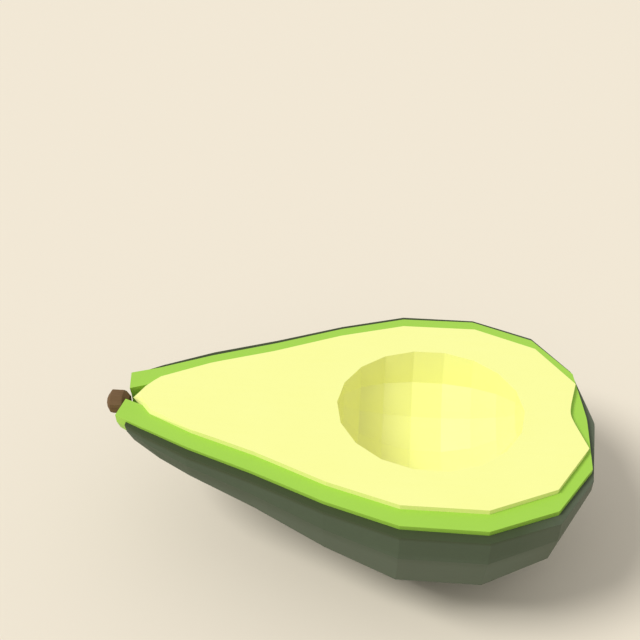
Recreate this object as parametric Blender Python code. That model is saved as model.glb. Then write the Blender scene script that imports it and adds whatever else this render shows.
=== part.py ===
# Avocado half, cut lengthwise, with its stone taken out: skin, green flesh, pale flesh and stem.
import bmesh
import bpy
from math import hypot, pi, tan

# Sizes in metres. X runs along the fruit from the stem end to the blunt end, and Z is up.
# While a piece is modelled, the pale flesh's cut face is at Z = 0 and its tip is at X = 0.
AXIS_DEPTH = 0.0019
GREEN_STEP = 0.0011

# The skin's cut edge lies lower still, and sinks a little towards the blunt end.
SKIN_STEP = 0.0017
SKIN_SLOPE = 0.0060
GAP = 0.0003

# The fruit rests on a small flat spot, and the green flesh is flat above it.
REST_DEPTH = 0.0350
GREEN_REST_DEPTH = 0.0335

# The place along X of the pale flesh's tip, which puts the origin under the middle of the piece.
MIDDLE = -0.0485

# Each layer is turned about the fruit's long axis with this many flat sides, the first pair upright.
SIDES = 18

# A layer's depth as a share of its half width, at the stem end and from the belly on.
STEM_DEPTH_RATIO = 0.80
BELLY_DEPTH_RATIO = 0.94
BELLY_START = 0.0600

# Near the stem end the lower half slants towards the belly, most of all at this place, and widens as it goes.
SLANT = 0.75
SLANT_PLACE = 0.0040
SLANT_REACH = 0.0080
SLANT_FLARE = 0.62

# Past the belly the lower half slants back a little, by this much at the blunt end.
BLUNT_SLANT = 0.05
BLUNT_START = 0.0780
BLUNT_REACH = 0.0220

# Outlines: place along the fruit and half width.
PALE_OUTLINE = (
    (0.0000, 0.0000),
    (0.0053, 0.0062),
    (0.0157, 0.0117),
    (0.0300, 0.0174),
    (0.0456, 0.0249),
    (0.0606, 0.0301),
    (0.0780, 0.0301),
    (0.0920, 0.0233),
    (0.0998, 0.0107),
    (0.0968, 0.0000),
)
GREEN_OUTLINE = (
    (-0.0009, 0.0000),
    (-0.0023, 0.0075),
    (0.0038, 0.0102),
    (0.0155, 0.0160),
    (0.0300, 0.0220),
    (0.0455, 0.0292),
    (0.0606, 0.0345),
    (0.0778, 0.0346),
    (0.0918, 0.0281),
    (0.1000, 0.0157),
    (0.1010, 0.0000),
)
SKIN_OUTLINE = (
    (0.0001, 0.0094),
    (0.0038, 0.0118),
    (0.0155, 0.0181),
    (0.0300, 0.0241),
    (0.0455, 0.0313),
    (0.0606, 0.0367),
    (0.0780, 0.0367),
    (0.0921, 0.0304),
    (0.1001, 0.0180),
    (0.1029, 0.0000),
)

# The pale flesh's blunt corners are tucked in below the cut face, clear of the green flesh's end.
BLUNT_TUCK = 0.0010

# The stone's hollow: half a ball with its poles on the long axis, a little longer than wide, and less deep.
HOLLOW_PLACE = 0.0668
HOLLOW_HALF_LENGTH = 0.0206
HOLLOW_HALF_WIDTH = 0.0202
HOLLOW_DEPTH = 0.0181
HOLLOW_SIDES = 14
HOLLOW_RINGS = 9

# The stem end leans a little to one side.
END_LEAN = 0.0004

# The groove in the green flesh at the stem end, which widens inwards: place along the fruit and half width.
GROOVE_MOUTH = (-0.0040, 0.0007)
GROOVE_INNER_END = (0.0029, 0.0037)
GROOVE_DEPTH = 0.0050

# The stem
STEM_SIDES = 8
STEM_DEPTH = 0.0033
STEM_OUTLINE = (
    (-0.0059, 0.0012),
    (-0.0049, 0.0026),
    (-0.0022, 0.0026),
    (-0.0009, 0.0014),
)

# Colours: base colour and roughness of each piece.
COLOURS = {
    "skin": ((0.066, 0.085, 0.045, 1.0), 0.62),
    "green_flesh": ((0.350, 0.620, 0.065, 1.0), 0.48),
    "pale_flesh": ((0.900, 0.910, 0.315, 1.0), 0.40),
    "stem": ((0.155, 0.090, 0.040, 1.0), 0.80),
}


def material(name):
    colour, roughness = COLOURS[name]
    made = bpy.data.materials.new(name)
    made.use_nodes = True
    surface = made.node_tree.nodes["Principled BSDF"]
    surface.inputs["Base Color"].default_value = colour
    surface.inputs["Roughness"].default_value = roughness
    surface.inputs["Metallic"].default_value = 0.0
    return made


def add_object(name, bm):
    mesh = bpy.data.meshes.new(name)
    bm.normal_update()
    bmesh.ops.recalc_face_normals(bm, faces=bm.faces)
    bm.to_mesh(mesh)
    bm.free()
    made = bpy.data.objects.new(name, mesh)
    bpy.context.scene.collection.objects.link(made)
    return made


def add_piece(name, bm, holder):
    piece = add_object(name, bm)
    piece.data.materials.append(material(name))
    piece.parent = holder
    return piece


def cut_away(piece, name, bm):
    cutter = add_object(name, bm)
    cutter.parent = piece.parent
    cutter.hide_render = True
    cutter.display_type = "WIRE"
    cut = piece.modifiers.new(name, "BOOLEAN")
    cut.operation = "DIFFERENCE"
    cut.solver = "EXACT"
    cut.object = cutter


def grown(outline, distance):
    # The outline moved outwards by a distance square to its own slopes.
    points = []
    for i, here in enumerate(outline):
        along, half_width = here
        before = outline[max(i - 1, 0)]
        after = outline[min(i + 1, len(outline) - 1)]
        slopes = [(q[0] - p[0], q[1] - p[1]) for p, q in ((before, here), (here, after))]
        normals = [(-dy / hypot(dx, dy), dx / hypot(dx, dy)) for dx, dy in slopes if hypot(dx, dy) > 0]
        x = sum(n[0] for n in normals)
        y = sum(n[1] for n in normals)
        if half_width == 0:
            y = 0.0
            reach = distance / abs(normals[0][0])
        else:
            reach = distance * len(normals) / hypot(x, y)
        size = hypot(x, y)
        points.append((along + x / size * reach, half_width + y / size * reach))
    return points


def depth_ratio(along):
    share = min(max(along / BELLY_START, 0.0), 1.0)
    return STEM_DEPTH_RATIO + (BELLY_DEPTH_RATIO - STEM_DEPTH_RATIO) * share


def spun(outline, sides):
    # A closed body, turned about the X axis, with one flat side facing along Y.
    bm = bmesh.new()
    rise = tan(pi / sides)
    profile = [bm.verts.new((along, half_width, half_width * rise)) for along, half_width in outline]
    lines = [bm.edges.new(pair) for pair in zip(profile, profile[1:])]
    bmesh.ops.spin(
        bm, geom=profile + lines, cent=(0, 0, 0), axis=(1, 0, 0), angle=2 * pi, steps=sides, use_merge=True
    )
    bmesh.ops.remove_doubles(bm, verts=bm.verts, dist=GAP / 10)
    bmesh.ops.holes_fill(bm, edges=bm.edges, sides=sides)
    return bm


def layer_body(outline):
    # One layer of the fruit, slanted below the axis towards both ends, and flattened a little in depth.
    bm = spun(outline, SIDES)
    for vertex in bm.verts:
        x, y, z = vertex.co
        shift = SLANT * max(1 - abs(x - SLANT_PLACE) / SLANT_REACH, 0.0) * max(-z, 0.0)
        wider = 1 + shift * SLANT_FLARE / max(hypot(y, z), GAP)
        shift -= BLUNT_SLANT * max(x - BLUNT_START, 0.0) / BLUNT_REACH * max(-z, 0.0)
        vertex.co = (x + shift, y * wider, z * wider * depth_ratio(x + shift) - AXIS_DEPTH)
    return bm


def slice_off(bm, point, direction):
    # Takes away what lies beyond the plane, on the side that the direction points to.
    geometry = bm.verts[:] + bm.edges[:] + bm.faces[:]
    cut = bmesh.ops.bisect_plane(
        bm, geom=geometry, dist=GAP / 100, plane_co=point, plane_no=direction, clear_outer=True
    )
    rim = [part for part in cut["geom_cut"] if isinstance(part, bmesh.types.BMEdge)]
    bmesh.ops.contextual_create(bm, geom=rim)


def skin(holder):
    bm = layer_body(SKIN_OUTLINE)
    slice_off(bm, (0, 0, -SKIN_STEP), (SKIN_SLOPE, 0, 1))
    slice_off(bm, (0, 0, -REST_DEPTH), (0, 0, -1))
    piece = add_piece("skin", bm, holder)
    cut_away(piece, "green_cutter", green_body(GAP))


def pale_body(clearance):
    bm = layer_body(grown(PALE_OUTLINE, clearance) if clearance else PALE_OUTLINE)
    last_ring, pole = PALE_OUTLINE[-2][0], PALE_OUTLINE[-1][0]
    for vertex in bm.verts:
        if vertex.co.x > (last_ring + pole) / 2 and vertex.co.z < -AXIS_DEPTH / 2:
            vertex.co.x -= BLUNT_TUCK
    bmesh.ops.triangulate(bm, faces=bm.faces, quad_method="LONG_EDGE")
    return bm


def groove():
    # A wedge that runs from beyond the stem end to the pale flesh's flanks.
    bm = bmesh.new()
    bmesh.ops.create_cube(bm, size=2.0)
    for vertex in bm.verts:
        along, half_width = GROOVE_MOUTH if vertex.co.x < 0 else GROOVE_INNER_END
        vertex.co = (along, vertex.co.y * half_width + END_LEAN, vertex.co.z * GROOVE_DEPTH)
    return bm


def stem_body(clearance):
    bm = spun(grown(STEM_OUTLINE, clearance) if clearance else STEM_OUTLINE, STEM_SIDES)
    bmesh.ops.translate(bm, vec=(0, 0, -STEM_DEPTH), verts=bm.verts)
    return bm


def green_body(clearance):
    bm = layer_body(grown(GREEN_OUTLINE, clearance) if clearance else GREEN_OUTLINE)
    slice_off(bm, (0, 0, -GREEN_REST_DEPTH - clearance), (0, 0, -1))
    for vertex in bm.verts:
        if vertex.co.x < 0:
            vertex.co.y += END_LEAN
    return bm


def green_flesh(holder):
    bm = green_body(0.0)
    slice_off(bm, (0, 0, -GREEN_STEP), (0, 0, 1))
    piece = add_piece("green_flesh", bm, holder)
    cut_away(piece, "pale_cutter", pale_body(GAP))
    cut_away(piece, "groove_cutter", groove())
    cut_away(piece, "stem_cutter", stem_body(GAP))


def stone_ball():
    bm = bmesh.new()
    bmesh.ops.create_uvsphere(bm, u_segments=HOLLOW_SIDES, v_segments=HOLLOW_RINGS, radius=1.0)
    for vertex in bm.verts:
        x, y, z = vertex.co
        vertex.co = (HOLLOW_PLACE + z * HOLLOW_HALF_LENGTH, y * HOLLOW_HALF_WIDTH, -x * HOLLOW_DEPTH)
    return bm


def pale_flesh(holder):
    bm = pale_body(0.0)
    slice_off(bm, (0, 0, 0), (0, 0, 1))
    piece = add_piece("pale_flesh", bm, holder)
    cut_away(piece, "stone_cutter", stone_ball())


def main():
    for old in list(bpy.data.objects):
        bpy.data.objects.remove(old, do_unlink=True)
    holder = bpy.data.objects.new("avocado_half", None)
    bpy.context.scene.collection.objects.link(holder)
    holder.location = (MIDDLE, 0.0, REST_DEPTH)
    skin(holder)
    green_flesh(holder)
    pale_flesh(holder)
    add_piece("stem", stem_body(0.0), holder)


main()
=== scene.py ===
from math import hypot, pi, radians, tan

import bmesh
import bpy
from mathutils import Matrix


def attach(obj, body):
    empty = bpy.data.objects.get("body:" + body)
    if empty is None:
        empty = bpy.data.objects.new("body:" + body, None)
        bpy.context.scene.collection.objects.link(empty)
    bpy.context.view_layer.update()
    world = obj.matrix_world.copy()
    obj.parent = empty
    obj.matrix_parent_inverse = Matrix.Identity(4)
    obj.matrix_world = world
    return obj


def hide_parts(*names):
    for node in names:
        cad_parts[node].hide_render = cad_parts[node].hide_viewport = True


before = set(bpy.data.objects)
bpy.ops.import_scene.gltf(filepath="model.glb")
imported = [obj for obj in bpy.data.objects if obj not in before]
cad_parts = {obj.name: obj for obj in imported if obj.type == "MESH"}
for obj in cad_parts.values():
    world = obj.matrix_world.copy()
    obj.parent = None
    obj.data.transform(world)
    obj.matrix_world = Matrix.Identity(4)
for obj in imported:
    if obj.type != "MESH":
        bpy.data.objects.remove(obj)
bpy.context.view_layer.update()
print("frame loaded:", ", ".join(sorted(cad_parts)))

# The whole fruit, in metres. Shapes are made with the pale tip at x = 0 and the cut face at z = 0.
fruit = {
    "tip": -0.0485,             # where the pale tip stands in the frame
    "cutHeight": 0.0350,        # where the cut face stands in the frame
    "axisDepth": 0.0019,        # the fruit's long axis, below the cut face
    "flatSides": 18,
    "stemDepthRatio": 0.80,     # depth to half width at the stem end
    "bellyDepthRatio": 0.94,    # the same at the belly
    "bellyStart": 0.0600,
    "slant": 0.75,              # how far the lower half slants towards the belly near the stem end
    "slantPlace": 0.0040,       # where it slants most
    "slantReach": 0.0080,
    "slantFlare": 0.62,         # how much it widens as it slants
    "bluntSlant": 0.05,         # how far the lower half slants back at the blunt end
    "bluntStart": 0.0780,
    "bluntReach": 0.0220,
    "endLean": 0.0004,          # how far the stem end leans to one side
    "overlap": 0.00004,         # how far a layer reaches into the one inside it
    "nearAxis": 0.0003,         # the least distance from the axis that the widening counts with
    "mergeDistance": 0.00003,
    "cutTolerance": 0.000003,
}


# Shapes

def depthRatio(along):
    share = min(max(along / fruit["bellyStart"], 0.0), 1.0)
    return fruit["stemDepthRatio"] + (fruit["bellyDepthRatio"] - fruit["stemDepthRatio"]) * share


def swollen(outline, distance):
    # moves each line of the outline outwards, square to itself
    points = []
    for i, here in enumerate(outline):
        along, half = here
        before, after = outline[max(i - 1, 0)], outline[min(i + 1, len(outline) - 1)]
        runs = [(q[0] - p[0], q[1] - p[1]) for p, q in ((before, here), (here, after))]
        sides = [(-dy / hypot(dx, dy), dx / hypot(dx, dy)) for dx, dy in runs if hypot(dx, dy) > 0]
        x, y = sum(side[0] for side in sides), sum(side[1] for side in sides)
        if half == 0:
            points.append((along + distance / sides[0][0], 0.0))
        else:
            reach = distance * len(sides) / hypot(x, y) ** 2
            points.append((along + x * reach, half + y * reach))
    return points


def spunBody(outline, sides):
    bm = bmesh.new()
    rise = tan(pi / sides)
    profile = [bm.verts.new((along, half, half * rise)) for along, half in outline]
    lines = [bm.edges.new(pair) for pair in zip(profile, profile[1:])]
    bmesh.ops.spin(bm, geom=profile + lines, axis=(1, 0, 0), angle=2 * pi, steps=sides, use_merge=True)
    bmesh.ops.remove_doubles(bm, verts=bm.verts, dist=fruit["mergeDistance"])
    bmesh.ops.holes_fill(bm, edges=bm.edges, sides=sides)
    return bm


def layerBody(outline):
    bm = spunBody(outline, fruit["flatSides"])
    for vert in bm.verts:
        x, y, z = vert.co
        nearness = max(1 - abs(x - fruit["slantPlace"]) / fruit["slantReach"], 0.0)
        shift = fruit["slant"] * nearness * max(-z, 0.0)
        wider = 1 + shift * fruit["slantFlare"] / max(hypot(y, z), fruit["nearAxis"])
        shift -= fruit["bluntSlant"] * max(x - fruit["bluntStart"], 0.0) / fruit["bluntReach"] * max(-z, 0.0)
        vert.co = (x + shift, y * wider, z * wider * depthRatio(x + shift) - fruit["axisDepth"])
    return bm


def sliceOff(bm, point, direction):
    # takes away what lies beyond the plane and closes the cut
    parts = bm.verts[:] + bm.edges[:] + bm.faces[:]
    settings = {"dist": fruit["cutTolerance"], "plane_co": point, "plane_no": direction, "clear_outer": True}
    cut = bmesh.ops.bisect_plane(bm, geom=parts, **settings)["geom_cut"]
    bmesh.ops.contextual_create(bm, geom=[part for part in cut if isinstance(part, bmesh.types.BMEdge)])


def newPiece(name, bm):
    bmesh.ops.translate(bm, vec=(fruit["tip"], 0, fruit["cutHeight"]), verts=bm.verts)
    bm.normal_update()
    bmesh.ops.recalc_face_normals(bm, faces=bm.faces)
    mesh = bpy.data.meshes.new(name)
    bm.to_mesh(mesh)
    bm.free()
    piece = bpy.data.objects.new(name, mesh)
    bpy.context.scene.collection.objects.link(piece)
    return piece


def carve(piece, *cutters):
    # cuts the other shapes out of the piece for good, and throws them away
    for cutter in cutters:
        cut = piece.modifiers.new(cutter.name, "BOOLEAN")
        cut.operation = "DIFFERENCE"
        cut.solver = "EXACT"
        cut.object = cutter
    finished = piece.evaluated_get(bpy.context.evaluated_depsgraph_get())
    mesh = bpy.data.meshes.new_from_object(finished)
    piece.modifiers.clear()
    piece.data = mesh
    for cutter in cutters:
        bpy.data.objects.remove(cutter, do_unlink=True)


def soften(piece, look):
    # rounds the edges that are sharper than the corner angle, and leaves the flat sides crisp
    soft = piece.modifiers.new("softEdges", "BEVEL")
    soft.width = look["edgeRounding"]
    soft.segments = 2
    soft.limit_method = "ANGLE"
    soft.angle_limit = radians(look["roundedCorner"])


def dress(piece, node, finish):
    piece.data.materials.clear()
    piece.data.materials.append(finish.material)
    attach(piece, "root")
    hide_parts(node)
    print("made", piece.name)


# Materials

class Wire:
    # a socket that can be used in sums
    def __init__(self, finish, socket):
        self.finish = finish
        self.socket = socket

    def sum(self, operation, first, second):
        return self.finish.node("ShaderNodeMath", {"operation": operation}, {0: first, 1: second})

    def __add__(self, other):
        return self.sum("ADD", self, other)

    def __radd__(self, other):
        return self.sum("ADD", other, self)

    def __sub__(self, other):
        return self.sum("SUBTRACT", self, other)

    def __rsub__(self, other):
        return self.sum("SUBTRACT", other, self)

    def __mul__(self, other):
        return self.sum("MULTIPLY", self, other)

    def __rmul__(self, other):
        return self.sum("MULTIPLY", other, self)


class Finish:
    def __init__(self, name, specular):
        self.material = bpy.data.materials.new(name)
        self.material.use_nodes = True
        self.tree = self.material.node_tree
        self.surface = self.tree.nodes["Principled BSDF"]
        self.surface.inputs["Specular IOR Level"].default_value = specular
        self.place = self.node("ShaderNodeTexCoord", output="Object")

    def plug(self, socket, value):
        if isinstance(value, Wire):
            self.tree.links.new(value.socket, socket)
        else:
            socket.default_value = value

    def node(self, kind, settings={}, values={}, output=0):
        made = self.tree.nodes.new(kind)
        for key, value in settings.items():
            setattr(made, key, value)
        for key, value in values.items():
            self.plug(made.inputs[key], value)
        return Wire(self, made.outputs[output])

    def speckle(self, scale, detail=2.0, stretch=(1, 1, 1)):
        # soft random values from 0 to 1, with scale in spots per metre
        place = self.node("ShaderNodeMapping", {}, {"Vector": self.place, "Scale": stretch})
        return self.node("ShaderNodeTexNoise", {}, {"Vector": place, "Scale": scale, "Detail": detail})

    def fade(self, axis, start, end):
        # rises from 0 to 1 along an axis of the piece
        place = self.node("ShaderNodeSeparateXYZ", {}, {0: self.place}, axis)
        return self.node("ShaderNodeMapRange", {}, {0: place, 1: start, 2: end})

    def between(self, share, first, second):
        return self.node("ShaderNodeMix", {"data_type": "RGBA"}, {0: share, 6: first, 7: second}, output=2)

    def colour(self, value):
        self.plug(self.surface.inputs["Base Color"], value)

    def roughness(self, value):
        self.plug(self.surface.inputs["Roughness"], value)

    def relief(self, height, depth):
        bump = self.node("ShaderNodeBump", {}, {"Height": height, "Distance": depth, "Strength": 1.0})
        self.plug(self.surface.inputs["Normal"], bump)


# Skin

skinLook = {
    "outline": ((0.0001, 0.0094), (0.0038, 0.0118), (0.0155, 0.0181), (0.0300, 0.0241), (0.0455, 0.0313),
                (0.0606, 0.0367), (0.0780, 0.0367), (0.0921, 0.0304), (0.1001, 0.0180), (0.1029, 0.0000)),
    "cutEdge": 0.0017,          # its cut edge below the cut face, at the stem end
    "cutSlope": 0.0060,         # how fast that edge sinks towards the blunt end
    "edgeRounding": 0.00018,
    "roundedCorner": 50,        # degrees, and sharper edges are rounded
    # painted shade, tinged green by light off the green flesh, along the skin's rim under the green flesh's
    # edge
    "rimShadeColour": (0.046, 0.065, 0.020, 1),
    "rimShadeHeights": (0.0321, 0.0330),             # where the side's colour turns into the painted shade along the rim
    "sideColour": (0.076, 0.106, 0.060, 1),
    "lightFromBelowColour": (0.107, 0.140, 0.093, 1),      # painted light from below: paler and greyer towards the underside
    "bluntLightColour": (0.116, 0.136, 0.092, 1),    # painted light: the blunt end paler, right up to its rim
    "darkColour": (0.040, 0.054, 0.027, 1),     # in the dips between the pebbles
    "lightFromBelowHeights": (0.0245, 0.0285),             # where the painted light from below turns into the side's colour
    "bluntLightPlaces": (0.035, 0.049),
    "pebblesPerMetre": 520,
    "pebbleDetail": 3.0,
    "patchesPerMetre": 45,
    "darkness": 0.5,            # how much of the dark colour shows where the pebbles and patches are lowest
    "pebbleShare": 0.3,
    "patchShare": 0.2,
    "pebbleDepth": 0.00005,
    "roughness": (0.56, 0.70),
    "specular": 0.30,
}


def skinFinish():
    finish = Finish("skinFinish", skinLook["specular"])
    pebbles = finish.speckle(skinLook["pebblesPerMetre"], skinLook["pebbleDetail"])
    patches = finish.speckle(skinLook["patchesPerMetre"])
    # painted light from below: the lower facets paler than the side
    side = finish.fade(2, *skinLook["lightFromBelowHeights"])
    # painted shade along the rim, under the green flesh's edge
    underFleshShade = finish.fade(2, *skinLook["rimShadeHeights"])
    # painted light towards the blunt end
    bluntLit = finish.fade(0, *skinLook["bluntLightPlaces"])
    groundWithPaintedLight = finish.between(side, skinLook["lightFromBelowColour"], skinLook["sideColour"])
    groundWithPaintedLight = finish.between(underFleshShade, groundWithPaintedLight, skinLook["rimShadeColour"])
    groundWithPaintedLight = finish.between(bluntLit, groundWithPaintedLight, skinLook["bluntLightColour"])
    dips = skinLook["darkness"] - pebbles * skinLook["pebbleShare"] - patches * skinLook["patchShare"]
    finish.colour(finish.between(dips, groundWithPaintedLight, skinLook["darkColour"]))
    low, high = skinLook["roughness"]
    finish.roughness(low + pebbles * (high - low))
    finish.relief(pebbles, skinLook["pebbleDepth"])
    return finish


def makeSkin():
    bm = layerBody(skinLook["outline"])
    sliceOff(bm, (0, 0, -skinLook["cutEdge"]), (skinLook["cutSlope"], 0, 1))
    sliceOff(bm, (0, 0, -fruit["cutHeight"]), (0, 0, -1))
    piece = newPiece("avocadoSkin", bm)
    carve(piece, newPiece("greenHollow", greenShape(-fruit["overlap"])))
    soften(piece, skinLook)
    dress(piece, "skin", skinFinish())


# Green flesh

greenLook = {
    "outline": ((-0.0009, 0.0000), (-0.0023, 0.0075), (0.0038, 0.0102), (0.0155, 0.0160), (0.0300, 0.0220),
                (0.0455, 0.0292), (0.0606, 0.0345), (0.0778, 0.0346), (0.0918, 0.0281), (0.1000, 0.0157),
                (0.1010, 0.0000)),
    "cutEdge": 0.0011,
    "restDepth": 0.0335,        # flat above the spot that the fruit rests on
    "grooveMouth": (-0.0040, 0.0007),       # place along the fruit and half width
    "grooveInnerEnd": (0.0029, 0.0037),
    "grooveDepth": 0.0050,
    "edgeRounding": 0.00016,
    "roundedCorner": 50,
    "colour": (0.365, 0.640, 0.072, 1),
    "deepColour": (0.330, 0.600, 0.058, 1),
    "cloudsPerMetre": 70,
    "grainsPerMetre": 900,
    "grainStretch": (0.25, 1, 1),
    "cloudShare": 0.6,          # the rest of the colour's change comes from the grain
    "roughness": (0.42, 0.54),
    "specular": 0.35,
    "grainDepth": 0.00002,
}


def greenShape(clearance):
    bm = layerBody(swollen(greenLook["outline"], clearance) if clearance else greenLook["outline"])
    sliceOff(bm, (0, 0, -greenLook["restDepth"] - clearance), (0, 0, -1))
    for vert in bm.verts:
        if vert.co.x < 0:
            vert.co.y += fruit["endLean"]
    return bm


def grooveShape():
    # a wedge that widens inwards
    bm = bmesh.new()
    bmesh.ops.create_cube(bm, size=2.0)
    for vert in bm.verts:
        along, half = greenLook["grooveMouth"] if vert.co.x < 0 else greenLook["grooveInnerEnd"]
        vert.co = (along, vert.co.y * half + fruit["endLean"], vert.co.z * greenLook["grooveDepth"])
    return bm


def greenFinish():
    finish = Finish("greenFinish", greenLook["specular"])
    clouds = finish.speckle(greenLook["cloudsPerMetre"])
    grain = finish.speckle(greenLook["grainsPerMetre"], stretch=greenLook["grainStretch"])
    deep = clouds * greenLook["cloudShare"] + grain * (1 - greenLook["cloudShare"])
    finish.colour(finish.between(deep, greenLook["colour"], greenLook["deepColour"]))
    low, high = greenLook["roughness"]
    finish.roughness(low + grain * (high - low))
    finish.relief(grain, greenLook["grainDepth"])
    return finish


def makeGreenFlesh():
    bm = greenShape(0.0)
    sliceOff(bm, (0, 0, -greenLook["cutEdge"]), (0, 0, 1))
    piece = newPiece("greenFlesh", bm)
    carve(piece, newPiece("paleHollow", paleShape(-fruit["overlap"])), newPiece("stemGroove", grooveShape()))
    soften(piece, greenLook)
    dress(piece, "green_flesh", greenFinish())


# Pale flesh

paleLook = {
    "outline": ((0.0000, 0.0000), (0.0053, 0.0062), (0.0157, 0.0117), (0.0300, 0.0174), (0.0456, 0.0249),
                (0.0606, 0.0301), (0.0780, 0.0301), (0.0920, 0.0233), (0.0998, 0.0107), (0.0968, 0.0000)),
    "bluntTuck": 0.0010,        # keeps the blunt corners clear of the green flesh below
    "hollowPlace": 0.0668,
    "hollowHalfLength": 0.0206,
    "hollowHalfWidth": 0.0202,
    "hollowDepth": 0.0181,
    "hollowSides": 14,
    "hollowRings": 9,
    "edgeRounding": 0.00016,
    "roundedCorner": 50,
    "colour": (0.910, 0.920, 0.335, 1),
    "richColour": (0.895, 0.900, 0.290, 1),
    "cloudsPerMetre": 60,
    "fibresPerMetre": 800,
    "fibreStretch": (0.15, 1, 1),
    "cloudShare": 0.6,
    "roughness": (0.28, 0.40),
    "specular": 0.50,
    "fibreDepth": 0.00002,
}


def paleShape(clearance):
    bm = layerBody(swollen(paleLook["outline"], clearance) if clearance else paleLook["outline"])
    lastRing, pole = paleLook["outline"][-2][0], paleLook["outline"][-1][0]
    for vert in bm.verts:
        if vert.co.x > (lastRing + pole) / 2 and vert.co.z < -fruit["axisDepth"] / 2:
            vert.co.x -= paleLook["bluntTuck"]
    bmesh.ops.triangulate(bm, faces=bm.faces, quad_method="LONG_EDGE")
    return bm


def stoneShape():
    bm = bmesh.new()
    sides, rings = paleLook["hollowSides"], paleLook["hollowRings"]
    bmesh.ops.create_uvsphere(bm, u_segments=sides, v_segments=rings, radius=1.0)
    size = (paleLook["hollowDepth"], paleLook["hollowHalfWidth"], paleLook["hollowHalfLength"])
    bmesh.ops.scale(bm, vec=size, verts=bm.verts)
    for vert in bm.verts:
        x, y, z = vert.co
        vert.co = (z + paleLook["hollowPlace"], y, -x)
    return bm


def paleFinish():
    finish = Finish("paleFinish", paleLook["specular"])
    clouds = finish.speckle(paleLook["cloudsPerMetre"])
    fibres = finish.speckle(paleLook["fibresPerMetre"], stretch=paleLook["fibreStretch"])
    rich = clouds * paleLook["cloudShare"] + fibres * (1 - paleLook["cloudShare"])
    finish.colour(finish.between(rich, paleLook["colour"], paleLook["richColour"]))
    low, high = paleLook["roughness"]
    finish.roughness(low + fibres * (high - low))
    finish.relief(fibres, paleLook["fibreDepth"])
    return finish


def makePaleFlesh():
    bm = paleShape(0.0)
    sliceOff(bm, (0, 0, 0), (0, 0, 1))
    piece = newPiece("paleFlesh", bm)
    carve(piece, newPiece("stoneHollow", stoneShape()))
    soften(piece, paleLook)
    dress(piece, "pale_flesh", paleFinish())


# Stem

stemLook = {
    "outline": ((-0.0059, 0.0012), (-0.0049, 0.0026), (-0.0022, 0.0026), (-0.0009, 0.0014)),
    "sides": 8,
    "depth": 0.0033,            # its middle below the cut face
    "edgeRounding": 0.00012,
    "roundedCorner": 30,
    "colour": (0.195, 0.115, 0.052, 1),
    "darkColour": (0.115, 0.064, 0.028, 1),
    "grainsPerMetre": 1500,
    "grainDetail": 3.0,
    "grainStretch": (0.15, 1, 1),
    "roughness": (0.70, 0.88),
    "specular": 0.20,
    "grainDepth": 0.00006,
}


def stemFinish():
    finish = Finish("stemFinish", stemLook["specular"])
    grain = finish.speckle(stemLook["grainsPerMetre"], stemLook["grainDetail"], stemLook["grainStretch"])
    finish.colour(finish.between(grain, stemLook["colour"], stemLook["darkColour"]))
    low, high = stemLook["roughness"]
    finish.roughness(low + grain * (high - low))
    finish.relief(grain, stemLook["grainDepth"])
    return finish


def makeStem():
    bm = spunBody(stemLook["outline"], stemLook["sides"])
    bmesh.ops.translate(bm, vec=(0, 0, -stemLook["depth"]), verts=bm.verts)
    piece = newPiece("stemStub", bm)
    soften(piece, stemLook)
    dress(piece, "stem", stemFinish())


# Floor, light and camera

studio = {
    "floorColour": (0.800, 0.727, 0.600, 1),
    "floorRoughness": 0.90,
    "floorSpecular": 0.10,
    "floorSize": 40.0,
    "sunDirection": 203.0,      # degrees round the fruit, from its blunt end
    "sunHeight": 50.0,          # degrees
    "sunSoftness": 22.0,        # degrees
    "sunStrength": 2.10,
    "skyStrength": 0.60,
    "lens": 53.9,
    "cameraPlace": (0.0072466, -0.1628281, 0.1727426),
    "cameraTurn": (54.6927, 0.0, 4.6904),
}


def makeStudio():
    scene = bpy.context.scene
    bm = bmesh.new()
    bmesh.ops.create_grid(bm, x_segments=1, y_segments=1, size=studio["floorSize"] / 2)
    mesh = bpy.data.meshes.new("floor")
    bm.to_mesh(mesh)
    bm.free()
    floor = bpy.data.objects.new("floor", mesh)
    scene.collection.objects.link(floor)
    paint = Finish("floorPaint", studio["floorSpecular"])
    paint.colour(studio["floorColour"])
    paint.roughness(studio["floorRoughness"])
    floor.data.materials.append(paint.material)

    sun = bpy.data.objects.new("sun", bpy.data.lights.new("sun", "SUN"))
    sun.rotation_euler = (0, radians(90 - studio["sunHeight"]), radians(studio["sunDirection"]))
    sun.data.energy = studio["sunStrength"]
    sun.data.angle = radians(studio["sunSoftness"])
    scene.collection.objects.link(sun)

    scene.world = bpy.data.worlds.new("sky")
    scene.world.use_nodes = True
    sky = scene.world.node_tree.nodes["Background"]
    sky.inputs["Color"].default_value = (1, 1, 1, 1)
    sky.inputs["Strength"].default_value = studio["skyStrength"]

    camera = bpy.data.objects.new("camera", bpy.data.cameras.new("camera"))
    camera.data.lens = studio["lens"]
    camera.location = studio["cameraPlace"]
    camera.rotation_euler = [radians(turn) for turn in studio["cameraTurn"]]
    scene.collection.objects.link(camera)
    scene.camera = camera
    scene.view_settings.view_transform = "Standard"
    print("floor, light and camera placed")


makeSkin()
makeGreenFlesh()
makePaleFlesh()
makeStem()
makeStudio()
